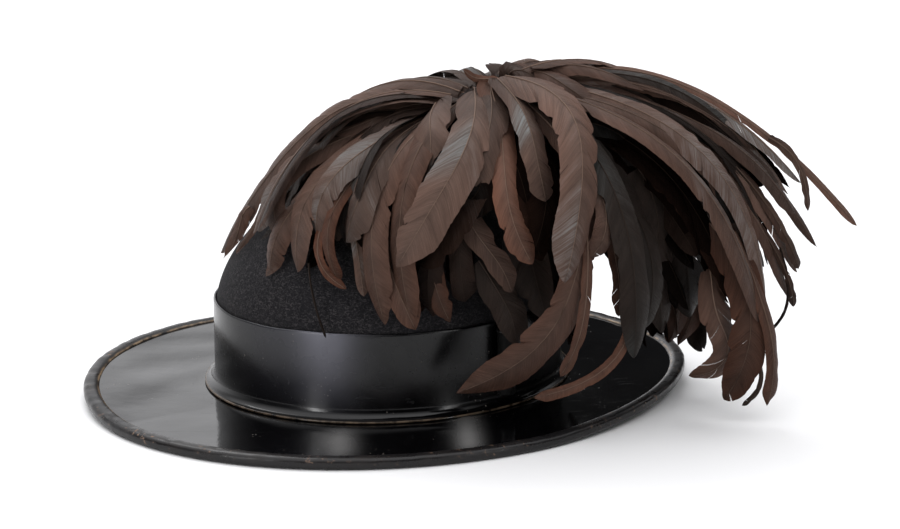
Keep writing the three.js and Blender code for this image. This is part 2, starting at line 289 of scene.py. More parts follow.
def felt_material():
    """Charcoal wool felt: mottled nap with short grey and brown fibres."""
    mat, tree, shader = new_material("felt")
    where = place(tree)
    nap = noise(tree, where, 900.0, 4.0, 0.7, 0.6)
    fleck = noise(tree, stretched(tree, where, (1.0, 1.0, 1.7)), 620.0, 2.0, 0.5, 1.5)
    fleck = math_node(tree, "MULTIPLY", ramp(tree, fleck, 0.5, 0.68), 0.75)
    cloud = noise(tree, where, 55.0, 3.0)
    color = mix_color(tree, ramp(tree, nap, 0.32, 0.7), FELT_DARK, FELT_GREY)
    color = mix_color(tree, fleck, color, FIBRE_GREY)
    color = mix_color(tree, ramp(tree, cloud, 0.35, 0.75, 0.0, 0.35), color, FELT_CLOUD)
    tree.links.new(color, shader.inputs["Base Color"])
    shader.inputs["Roughness"].default_value = 0.95
    shader.inputs["Specular IOR Level"].default_value = 0.15
    shader.inputs["Sheen Weight"].default_value = 0.015
    shader.inputs["Sheen Roughness"].default_value = 0.6
    tree.links.new(bump(tree, nap, 0.9, 0.0006), shader.inputs["Normal"])
    return mat


def feather_material(name, gloss):
    """Barbs: grey-brown to red-brown by feather, streaked along the barbs, with a cold glint painted into the
    colour on some, where the specular is also colder and a little glossier.
    """
    mat, tree, shader = new_material(name)
    barb = add(tree, "ShaderNodeAttribute", attribute_name="barb").outputs["Vector"]
    plumage = add(tree, "ShaderNodeAttribute", attribute_name="plumage").outputs["Vector"]
    across = add(tree, "ShaderNodeSeparateXYZ", {0: barb}).outputs[1]
    tone, red, sheen = add(tree, "ShaderNodeSeparateXYZ", {0: plumage}).outputs
    broad = noise(tree, stretched(tree, barb, (0.13, 0.8, 7.0)), 1.0, 3.0)
    fine = noise(tree, stretched(tree, barb, (1.5, 0.5, 3.0)), 1.0, 4.0, 0.7)
    streak = ramp(tree, broad, 0.25, 0.75, 0.72, 1.24)
    streak = math_node(tree, "ADD", streak, ramp(tree, fine, 0.3, 0.7, -0.28, 0.28))
    streak = math_node(tree, "ADD", streak, ramp(tree, across, 0.0, 1.0, -0.08, 0.1))
    shade = ramp(tree, math_node(tree, "MULTIPLY", tone, streak), 0.0, 1.0)
    color = mix_color(tree, shade, BARB_DARK, BARB_PALE)
    warm = math_node(tree, "MULTIPLY", red, ramp(tree, across, 0.0, 1.0, 0.55, 1.0))
    ruddy = mix_color(tree, shade, RUDDY_DARK, RUDDY_PALE)
    color = mix_color(tree, warm, color, ruddy)
    # Painted glint: pale grey mixed into the barbs' colour in streaks where the sheen is high
    painted_glint = math_node(tree, "MULTIPLY", sheen, 1.3)
    painted_glint = math_node(tree, "ADD", painted_glint, ramp(tree, broad, 0.0, 1.0, -0.6, 0.6))
    painted_glint = math_node(tree, "MULTIPLY", ramp(tree, painted_glint, 0.5, 1.3), ramp(tree, fine, 0.4, 0.64))
    painted_glint = math_node(tree, "MULTIPLY", painted_glint, ramp(tree, tone, 0.05, 0.6, 0.06, 0.8))
    color = mix_color(tree, painted_glint, color, PAINTED_GLINT_GREY)
    quill = ramp(tree, across, -0.4, -0.6)
    quill = math_node(tree, "MULTIPLY", quill, ramp(tree, tone, 0.1, 0.6, 0.05, 0.55))
    color = mix_color(tree, quill, color, QUILL_BROWN)
    tree.links.new(color, shader.inputs["Base Color"])
    tree.links.new(ramp(tree, sheen, 0.0, 1.0, 0.44, 0.34), shader.inputs["Roughness"])
    tint = mix_color(tree, sheen, WARM_TINT, COLD_TINT)
    tree.links.new(tint, shader.inputs["Specular Tint"])
    shader.inputs["Specular IOR Level"].default_value = gloss
    tree.links.new(bump(tree, fine, 0.9, 0.0007), shader.inputs["Normal"])
    return mat


def plain_material(name, color, roughness, grain_scale):
    """One colour with a faint grain."""
    mat, tree, shader = new_material(name)
    grain = noise(tree, place(tree), grain_scale, 4.0)
    lighter = tuple(1.6 * value for value in color)
    tree.links.new(mix_color(tree, grain, color, lighter), shader.inputs["Base Color"])
    shader.inputs["Roughness"].default_value = roughness
    tree.links.new(bump(tree, grain, 0.2, 0.0003), shader.inputs["Normal"])
    return mat


varnish = varnish_material("varnished_leather", gloss=0.075, ior=1.5, highlight_paint=BRIM_REFLECTION_PAINT)
band_varnish = varnish_material("varnished_band", gloss=0.25, ior=1.38, highlight_paint=BAND_HIGHLIGHT_PAINT)
binding_leather = binding_material()
felt = felt_material()
barbs = feather_material("feathers", gloss=0.16)
inner_barbs = feather_material("inner_feathers", gloss=0.0)
lacquer = plain_material("black_lacquer", LACQUER_BLACK, roughness=0.3, grain_scale=300.0)
thread = plain_material("waxed_thread", THREAD_BROWN, roughness=0.7, grain_scale=900.0)

# Brim, with the slight unevenness of old leather
BRIM_HOLE, BRIM_EDGE, BRIM_RINGS = FELT_RADIUS + 0.3, BRIM_RADIUS - 3.2, 42
# Paler streaks on the varnish before the band, painted reflections of lamps: middle x, half width, from y, to
# y, amount
BRIM_PAINTED_REFLECTIONS = [(41.0, 6.5, -78.0, -146.0, 0.95), (-26.0, 8.0, -102.0, -152.0, 0.75)]


def brim_ripple(radius, angle, z):
    out = np.clip((radius - BAND_RADIUS) / (BRIM_RADIUS - BAND_RADIUS), 0, 1)
    wave = waves(angle, (0.22, 5, 0.7), (0.16, 9, 2.1 + 0.05 * radius), (0.12, 14, -0.09 * radius))
    return radius, angle, z + wave * np.sin(math.pi * out)


# Painted reflections: paler streaks on the brim before the band, as a mask in the second channel
def painted_reflection_streaks(points):
    wear_and_painted_highlight = np.zeros_like(points)
    for middle, half, start, stop, amount in BRIM_PAINTED_REFLECTIONS:
        along = np.clip((start - points[:, 1]) / (start - stop), 0, 1)
        across = np.exp(-((points[:, 0] - middle) / half) ** 2)
        wear_and_painted_highlight[:, 1] += amount * across * np.sin(math.pi * along) ** 0.6
    return wear_and_painted_highlight


brim_rings = np.linspace(BRIM_HOLE, BRIM_EDGE, BRIM_RINGS)
brim_profile = [[r, BRIM_UNDER] for r in brim_rings] + [[r, BRIM_TOP] for r in brim_rings[::-1]]
points, quads = lathe(brim_profile, BRIM_STEPS, True, brim_ripple)
put_mesh("brim_plate", points, quads, varnish, "brim", {"wear_and_painted_highlight": painted_reflection_streaks(points)})

# Binding, rolled round the edge: a raw inner lip and a rubbed outer turn
BINDING_MIDDLE, BINDING_HALF, BINDING_HIGH = 158.75, 4.2, 3.3
BINDING_POWER, BINDING_ROWS = 2.7, 56
RAW_AT, RAW_SPREAD, RUBBED_AT = 143.0, 7.0, 55.0


def binding_ripple(radius, angle, z):
    wave = 0.6 * waves(angle, (0.1, 61, 0.3), (0.1, 23, 1.0), (0.07, 97, 0.0))
    top = np.clip((z - 2.0) / 4.0, 0, 1)
    return radius + wave * top, angle, z + wave * top


roll = superellipse(BINDING_MIDDLE, BINDING_HIGH, BINDING_HALF, BINDING_HIGH, BINDING_POWER, BINDING_ROWS)
points, quads = lathe(roll, BINDING_STEPS, True, binding_ripple)
off_middle = np.array(roll) - [BINDING_MIDDLE, BINDING_HIGH]
turn = np.degrees(np.arctan2(off_middle[:, 1], off_middle[:, 0]))
raw_lip = np.exp(-(((turn % 360) - RAW_AT) / RAW_SPREAD) ** 2)
rubbed = np.clip(np.cos(np.radians(turn - RUBBED_AT)), 0, 1) ** 0.7
binding_worn = np.stack([raw_lip, rubbed, 0 * turn], axis=-1)
put_mesh("brim_roll", points, quads, binding_leather, "brim_binding",
         {"wear_and_painted_highlight": np.repeat(binding_worn, BINDING_STEPS, axis=0)})

# Felt crown, a dome with slight dents
WALL_ROWS, INSIDE_ROWS, OUTSIDE_ROWS = 10, 46, 60
DOME_TIP = 0.02


def dome(radius, top, foot, rows):
    share = np.sin(np.linspace(0, math.pi / 2, rows))
    wide = radius * (1 - share ** DOME_POWER) ** (1 / DOME_ROOT)
    side = [[radius, z] for z in np.linspace(foot, SHOULDER, WALL_ROWS, endpoint=False)]
    return side + [[max(w, DOME_TIP), SHOULDER + (top - SHOULDER) * s] for w, s in zip(wide, share)]


def felt_ripple(radius, angle, z):
    soft = np.clip((z - 58) / 30, 0, 1)
    dent = waves(angle, (0.7, 2, 0.4), (0.4, 3, 2.0 + z / 40))
    return radius + dent * soft * np.clip(radius / 40, 0, 1), angle, z


crown_inside = dome(FELT_RADIUS - FELT_WALL, CROWN_TOP - FELT_WALL, BRIM_UNDER, INSIDE_ROWS)
crown_outside = dome(FELT_RADIUS, CROWN_TOP, BRIM_UNDER, OUTSIDE_ROWS)
points, quads = lathe(crown_inside[::-1] + crown_outside, CROWN_STEPS, False, felt_ripple)
put_mesh("felt_crown", points, quads, felt, "crown")

# Band, flared into a polished lip whose cut edge shows tan
BAND_FOOT, BAND_INNER = 5.3, 93.5
LIP_EDGE, LIP_THICK, LIP_OUT, LIP_HIGH = 100.25, 1.1, 5.2, 6.2
CUT_RAW, POLISH_HIGH = 0.7, 9.0
# Paler places, strongest near the band's top edge, painted highlights of lamps: towards which angle, spread,
# amount
BAND_PAINTED_HIGHLIGHTS = [(-108.0, 9.0, 1.0), (-126.0, 14.0, 0.2), (60.0, 20.0, 0.5), (170.0, 16.0, 0.4)]


def band_ripple(radius, angle, z):
    low = np.clip(1 - (z - 5) / 20, 0, 1)
    wave = waves(angle, (0.18, 4, 1.2), (0.12, 11, z / 9))
    top = np.clip((z - 45) / 8, 0, 1)
    edge = waves(angle, (0.2, 7, 0.0), (0.12, 17, 1.0))
    return radius + wave * (1 - low) * 0.5, angle, z + edge * top


def lip_point(turn):
    out = BAND_RADIUS + LIP_OUT * (1 - math.sin(turn))
    return [out, BAND_FOOT + LIP_THICK + LIP_HIGH * (1 - math.cos(turn))]


lip_under = [[BAND_INNER, BAND_FOOT], [BAND_RADIUS + 3.0, BAND_FOOT], [LIP_EDGE - 0.25, BAND_FOOT]]
lip_cut = [[LIP_EDGE, BAND_FOOT + 0.25], [LIP_EDGE, BAND_FOOT + 0.9], [LIP_EDGE - 0.3, BAND_FOOT + LIP_THICK]]
lip_flare = [lip_point(turn) for turn in np.radians(np.linspace(4, 90, 14)[1:])]
band_wall = [[BAND_RADIUS, z] for z in np.linspace(15, BAND_TOP - 1, 14)]
band_rim = [[94.9, BAND_TOP - 0.3], [94.6, BAND_TOP], [94.0, BAND_TOP], [BAND_INNER, BAND_TOP - 0.2]]
band_profile = np.array(lip_under + lip_cut + lip_flare + band_wall + band_rim)
points, quads = lathe(band_profile, BAND_STEPS, True, band_ripple)
band_wear_and_highlight = np.zeros((len(band_profile), BAND_STEPS, 3))
band_wear_and_highlight[len(lip_under):len(lip_under) + len(lip_cut), :, 0] = CUT_RAW
band_wear_and_highlight[:, :, 2] = np.clip(1 - (band_profile[:, 1:2] - BAND_FOOT) / POLISH_HIGH, 0, 1)
around = np.degrees(np.linspace(0, 2 * math.pi, BAND_STEPS, endpoint=False) + TURN)
high = np.clip((band_profile[:, 1] - 8) / 45, 0, 1) ** 0.8
# Painted highlights on the band, as a mask in the second channel
for towards, spread, amount in BAND_PAINTED_HIGHLIGHTS:
    off = (around - towards + 180) % 360 - 180
    band_wear_and_highlight[:, :, 1] += amount * np.exp(-(off / spread) ** 2)[None] * high[:, None]
put_mesh("leather_band", points, quads, band_varnish, "band",
         {"wear_and_painted_highlight": band_wear_and_highlight.reshape(-1, 3)})


# Tubes: the socket, the stem, quills and the bound head
def unit(vectors):
    return vectors / np.maximum(np.linalg.norm(vectors, axis=-1, keepdims=True), 1e-9)


def tube(line, radii, sides):
    """A tube along a line of points, with a radius at each."""
    line = np.asarray(line, dtype=float)
    radii = np.asarray(radii, dtype=float)
    along = unit(np.gradient(line, axis=0))
    guide = np.where(np.abs(along[:, 2:3]) > 0.9, [[1.0, 0, 0]], [[0, 0, 1.0]])
    across = unit(np.cross(along, guide))
    face = np.cross(across, along)
    turn = np.linspace(0, 2 * math.pi, sides, endpoint=False)[None, :, None]
    ring = across[:, None] * np.cos(turn) - face[:, None] * np.sin(turn)
    points = line[:, None] + ring * radii[:, None, None]
    return points.reshape(-1, 3), grid_quads(len(line), sides, False)


def stem_point(z):
    rim = plan(np.array(BAND_RADIUS), np.array(STEM_TURN - TURN), np.array(z))
    return rim + unit(rim * [1, 1, 0]) * STEM_OFF


SOCKET_SIDES = 40
SOCKET_OUTER, SOCKET_INNER, SOCKET_MIDDLE = 4.9, 3.35, 0.1
SOCKET_FOOT, SOCKET_FLOOR, SOCKET_TOP = 14.0, 18.0, 50.0


def hollow_post():
    """The plume's socket: rings of height and radius from its foot, over a beaded rim, to its inner floor."""
    rows = [
        (SOCKET_FOOT, SOCKET_MIDDLE),
        (SOCKET_FOOT, SOCKET_OUTER - 0.4),
        (SOCKET_FOOT + 0.4, SOCKET_OUTER),
        (SOCKET_TOP - 1.8, SOCKET_OUTER),
        (SOCKET_TOP - 1.4, SOCKET_OUTER + 0.5),
        (SOCKET_TOP - 0.6, SOCKET_OUTER + 0.6),
        (SOCKET_TOP, SOCKET_OUTER + 0.2),
        (SOCKET_TOP, SOCKET_INNER + 0.2),
        (SOCKET_TOP - 0.4, SOCKET_INNER),
        (SOCKET_FLOOR, SOCKET_INNER),
        (SOCKET_FLOOR, SOCKET_MIDDLE),
    ]
    line = np.array([stem_point(z) for z, _ in rows])
    radii = np.array([radius for _, radius in rows])
    turn = np.linspace(0, 2 * math.pi, SOCKET_SIDES, endpoint=False)
    ring = np.stack([np.cos(turn), np.sin(turn), 0 * turn], axis=-1)
    points = line[:, None] + ring[None] * radii[:, None, None]
    return points.reshape(-1, 3), grid_quads(len(rows), SOCKET_SIDES, False)


points, quads = hollow_post()
put_mesh("socket_tube", points, quads, lacquer, "plume_socket")

# The plume, in groups. Each row is one feather: its seat on the head from 0 to 1,
# its point at half length x y z, its tip x y z, width, tone, redness and sheen
LEFT = [
    [0.00, -37, -45, 157, -93, -10, 77, 15, 0.50, 0.4, 0.1],
    [0.02, -38, -52, 147, -70, -45, 97, 15, 0.55, 0.3, 0.6],
    [0.04, -46, -62, 140, -55, -64, 98, 13, 0.45, 0.4, 0.2],
    [0.06, -30, -80, 140, -48, -76, 83, 17, 0.60, 0.4, 0.1],
    [0.08, -22, -90, 144, -37, -82, 102, 15, 0.50, 0.3, 0.5],
    [0.05, -41, -70, 126, -63, -63, 78, 14, 0.45, 0.5, 0.3],
    [0.10, -22, -92, 131, -26, -90, 82, 8, 0.40, 0.9, 0.0],
    [0.14, -7, -98, 145, -22, -95, 104, 18, 0.45, 0.2, 0.4],
    [0.20, -2, -102, 139, -2, -98, 60, 16, 0.55, 0.5, 0.1],
    [0.24, 10, -106, 140, 13, -100, 58, 14, 0.45, 0.6, 0.1],
]
FRONT = [
    [-0.05, 22, -92, 162, 20, -101, 134, 20, 0.58, 0.3, 0.3],
    [0.38, 34, -115, 147, 4, -117, 96, 23, 0.62, 0.3, 0.9],
    [0.52, 47, -101, 152, 41, -105, 118, 18, 0.48, 0.3, 0.1],
    [0.55, 60, -104, 142, 74, -112, 96, 16, 0.60, 0.8, 0.1],
    [0.62, 74, -97, 161, 81, -108, 128, 14, 0.45, 0.3, 0.8],
    [0.68, 98, -112, 161, 90, -124, 89, 22, 0.72, 0.4, 0.4],
    [0.66, 105, -105, 140, 104, -115, 100, 12, 0.45, 0.5, 0.2],
    # The last two are near black: painted shade under the front feathers
    [0.30, 27, -100, 113, 23, -97, 64, 13, 0.14, 0.6, 0.0],
    [0.36, 36, -99, 115, 40, -97, 72, 13, 0.05, 0.4, 0.0],
]
RIGHT = [
    [0.90, 160, -47, 176, 254, -45, 99, 6, 0.60, 0.6, 0.1],
    [0.82, 146, -52, 178, 222, -50, 124, 12, 0.85, 0.3, 0.5],
    [0.92, 154, -50, 170, 214, -55, 119, 13, 0.72, 0.3, 0.4],
    [0.88, 159, -60, 162, 218, -60, 109, 11, 0.28, 0.4, 0.3],
    [0.86, 158, -65, 157, 220, -60, 77, 12, 0.52, 0.4, 0.3],
    [0.84, 163, -70, 147, 218, -62, 59, 11, 0.35, 0.6, 0.2],
    [0.80, 156, -85, 155, 200, -80, 69, 15, 0.62, 0.4, 0.4],
    [0.74, 148, -100, 150, 196, -90, 58, 16, 0.46, 0.5, 0.3],
]
# Feathers hanging under the falls; most are near black, as painted shade beneath them
UNDER = [
    [0.68, 127, -95, 70, 75, -122, 27, 6, 0.45, 0.8, 0.0],
    [0.72, 129, -70, 90, 132, -50, 32, 16, 0.11, 0.6, 0.1],
    [0.80, 146, -40, 90, 157, -12, 29, 18, 0.10, 0.5, 0.1],
    [0.84, 160, -30, 84, 172, 2, 17, 18, 0.11, 0.5, 0.1],
    [0.50, 66, -80, 125, 84, -92, 56, 21, 0.09, 0.2, 0.3],
    [0.60, 90, -62, 120, 98, -64, 58, 20, 0.07, 0.2, 0.2],
    [0.76, 132, -56, 126, 146, -46, 62, 22, 0.08, 0.2, 0.4],
    [0.84, 152, -56, 136, 180, -42, 72, 22, 0.10, 0.3, 0.3],
    [0.70, 100, -42, 88, 100, -22, 26, 16, 0.15, 0.2, 0.2],
    [0.90, 142, 0, 98, 146, 30, 32, 20, 0.15, 0.3, 0.2],
    [0.95, 118, 38, 122, 128, 70, 62, 20, 0.2, 0.3, 0.2],
]
# Short feathers that bend over the bound head and hide it, in the same order
CAP = [
    [0.70, 84, -56, 185, 112, -74, 168, 14, 0.30, 0.6, 0.2],
    [0.90, 100, -52, 189, 136, -58, 176, 12, 0.34, 0.5, 0.2],
    [0.00, 4, -52, 166, -28, -56, 153, 13, 0.45, 0.4, 0.2],
    [0.02, 2, -46, 165, -28, -36, 154, 13, 0.40, 0.4, 0.2],
    [0.20, 32, -36, 169, 26, -8, 154, 16, 0.45, 0.4, 0.2],
    [0.50, 54, -34, 172, 54, -6, 157, 16, 0.45, 0.4, 0.2],
    [0.80, 78, -34, 177, 86, -8, 162, 16, 0.45, 0.4, 0.2],
]
# Single feathers that start inside the bush: root x y z, point at half length, tip, then as above
STRAYS = [
    [168, -90, 112, 191, -92, 58, 179, -84, 13, 20, 0.22, 0.9, 0.0],
    [181, -90, 107, 200, -92, 58, 202, -86, 10, 8, 0.40, 0.8, 0.0],
    [170, -80, 85, 179, -84, 49, 162, -66, 21, 19, 0.48, 0.5, 0.0],
    [187, -84, 54, 198, -88, 27, 188, -88, 11, 3, 0.05, 0.2, 0.0],
    [160, -34, 100, 168, -28, 62, 161, -22, 25, 14, 0.20, 0.9, 0.0],
    [145, -40, 86, 154, -34, 56, 155, -30, 29, 14, 0.14, 0.8, 0.0],
    [204, -50, 149, 221, -52, 132, 226, -52, 109, 5, 0.36, 0.4, 0.1],
    [183, -64, 138, 209, -66, 104, 220, -64, 80, 6, 0.28, 0.5, 0.1],
    [192, -68, 112, 212, -70, 80, 217, -68, 60, 4, 0.22, 0.5, 0.0],
    [209, -68, 93, 214, -70, 68, 206, -70, 48, 2, 0.03, 0.2, 0.0],
    [97, -96, 162, 121, -115, 119, 128, -106, 43, 16, 0.10, 0.0, 0.5],
    [104, -92, 155, 132, -102, 111, 135, -92, 55, 14, 0.07, 0.0, 0.3],
    [116, -98, 114, 119, -98, 91, 121, -92, 62, 8, 0.17, 1.0, 0.0],
    [123, -95, 105, 125, -94, 83, 128, -88, 55, 11, 0.13, 1.0, 0.0],
    # The next two are near black: painted shade deep under the right fall
    [130, -88, 141, 142, -86, 103, 146, -76, 48, 20, 0.03, 0.2, 0.2],
    [139, -80, 133, 156, -78, 101, 162, -66, 54, 20, 0.04, 0.3, 0.1],
    [98, -78, 164, 130, -84, 148, 147, -80, 105, 14, 0.05, 0.0, 0.4],
    [-75, -30, 108, -81, -28, 97, -90, -20, 76, 8, 0.42, 0.6, 0.1],
    [-68, -40, 111, -75, -38, 95, -83, -34, 83, 4, 0.3, 0.5, 0.1],
    [37, -102, 126, 52, -106, 102, 64, -104, 79, 13, 0.26, 0.4, 0.1],
    [47, -100, 95, 61, -103, 72, 66, -103, 50, 18, 0.09, 0.1, 0.15],
    [104, -108, 130, 92, -116, 77, 35, -110, 26, 18, 0.42, 0.6, 0.1],
    [102, -114, 112, 101, -117, 72, 89, -114, 36, 6, 0.40, 0.7, 0.0],
    [-2, -97, 119, 3, -102, 85, 14, -104, 59, 15, 0.46, 0.6, 0.0],
    [27, -99, 133, 22, -102, 95, 32, -104, 63, 11, 0.24, 0.8, 0.1],
    [-28, -84, 124, -37, -88, 98, -22, -92, 78, 5, 0.55, 1.0, 0.0],
    [-22, -86, 121, -16, -92, 99, -13, -96, 75, 7, 0.38, 0.4, 0.3],
    [-42, -84, 90, -39, -90, 70, -33, -94, 52, 1.3, 0.03, 0.0, 0.0],
    [63, -56, 179, 52, -58, 183, 40, -56, 188, 4, 0.50, 0.8, 0.0],
]
# Cut quills that stand out of the head
STUB_COUNT, STUB_RADII = 8, (0.4, 0.35, 0.3, 0.12)
# The far side's fall: between which angles, reach at half length and at the tip, and how far it drops
FAR_COUNT, FAR_FROM, FAR_TO = 52, 8.0, 196.0
FAR_OUT, FAR_REACH, FAR_DROP = 62.0, 104.0, 70.0
FAR_LENGTHS = (1.0, 0.7, 0.88, 0.6, 0.94)
FAR_SUNK = (0.0, 5.0, 2.0, 7.0, 3.0)
# The dark inside, near-black feathers as painted shade within the bush: how many, between which angles, tip
# heights and reach from the root
THICKETS = [
    (60, (-46.0, 40.0), (26.0, 80.0), (45.0, 84.0)),
    (34, (-28.0, 8.0), (50.0, 96.0), (86.0, 126.0)),
]
THICKET_WIDTHS, THICKET_SHADE_TONES = (11.0, 19.0), (0.01, 0.06)
# Feathers between neighbours lie this deep behind them, and have this share of their width and tone; those
# inside are near black, as painted shade
BESIDE_DEPTHS, INNER_DEPTHS = (5.0, 12.0), (9.0, 22.0)
INNER_WIDTHS, INNER_SHADE_TONES = (0.9, 1.3), (0.01, 0.07)
# How far roots sit from the head's line
ROOT_DROP = np.array([0.0, 6.0, -7.0])
FRONT_DROP = np.array([0.0, -4.0, 0.0])
INNER_DROP = np.array([0.0, 7.0, -10.0])
# A slanting slit at the crown's right, and the brim before the band, which stay free of fillers
SLIT_X, SLIT_HALF, SLIT_LOW, SLIT_HIGH = 124.0, 3.0, 36.0, 66.0
SLIT_LEAN_Y, SLIT_LEAN_Z, SLIT_DROP_Y = 0.083, -0.026, 0.31
BARE_FROM, BARE_TO, BARE_FRONT, BARE_HIGH = 40.0, 118.0, -66.0, 64.0
# Vanes: how far they face up and to the front, the length between barbs, points along a barb,
# the width at the root, and how far they lie off the crown, the brim and the floor
LEAN, STRAY_LEAN, ROW_GAP = 0.9, 2.2, 1.5
VANE_COLUMNS = (0.0, 0.25, 0.5, 0.75, 1.0)
ROOT_SHARE = 0.76
CLEAR, BRIM_CLEAR, FLOOR_CLEAR = 2.5, 11.5, 1.5
# Feathers with more sheen than this gleam round one place along their length, with a painted glint there
BRIGHT, GLOW_AT, GLOW_SPREAD = 0.75, 0.36, 0.17


def off_hat(points, clear):
    """Moves points out of the crown and off the brim, so that feathers lie over them."""
    c, s = math.cos(TURN), math.sin(TURN)
    x, y, z = points[:, 0], points[:, 1], points[:, 2]
    u = (c * x + s * y) / (1 + BAND_OVAL / BAND_RADIUS)
    w = (c * y - s * x) / (1 - BAND_OVAL / BAND_RADIUS)
    radius = np.hypot(u, w)
    share = np.clip((z - SHOULDER) / (CROWN_TOP + 2 * clear - SHOULDER), 0, 1)
    wall = (BAND_RADIUS + clear) * (1 - share ** DOME_POWER) ** (1 / DOME_ROOT)
    push = np.where((share < 1) & (radius < wall), wall / np.maximum(radius, 1), 1.0)
    floor = np.where(radius < BRIM_RADIUS + 4, BRIM_CLEAR, FLOOR_CLEAR)
    return np.stack([x * push, y * push, np.maximum(z, floor)], axis=-1)


class Plumage:
    """Feathers gathered into one mesh."""

    def __init__(self):
        self.points, self.quads, self.barb, self.kind = [], [], [], []
        self.count = 0

    def put(self, points, quads, barb, kind):
        self.points.append(points)
        self.quads.append(quads + self.count)
        self.barb.append(barb)
        self.kind.append(kind)
        self.count += len(points)

    def build(self, name, mat):
        fields = {"barb": np.concatenate(self.barb), "plumage": np.concatenate(self.kind)}
        points, quads = np.concatenate(self.points), np.concatenate(self.quads)
        put_mesh(name, points, quads, mat, "plume", fields)


def smooth_noise(share, knots, size):
    return np.interp(share, np.linspace(0, 1, knots), draw.normal(0, size, knots))


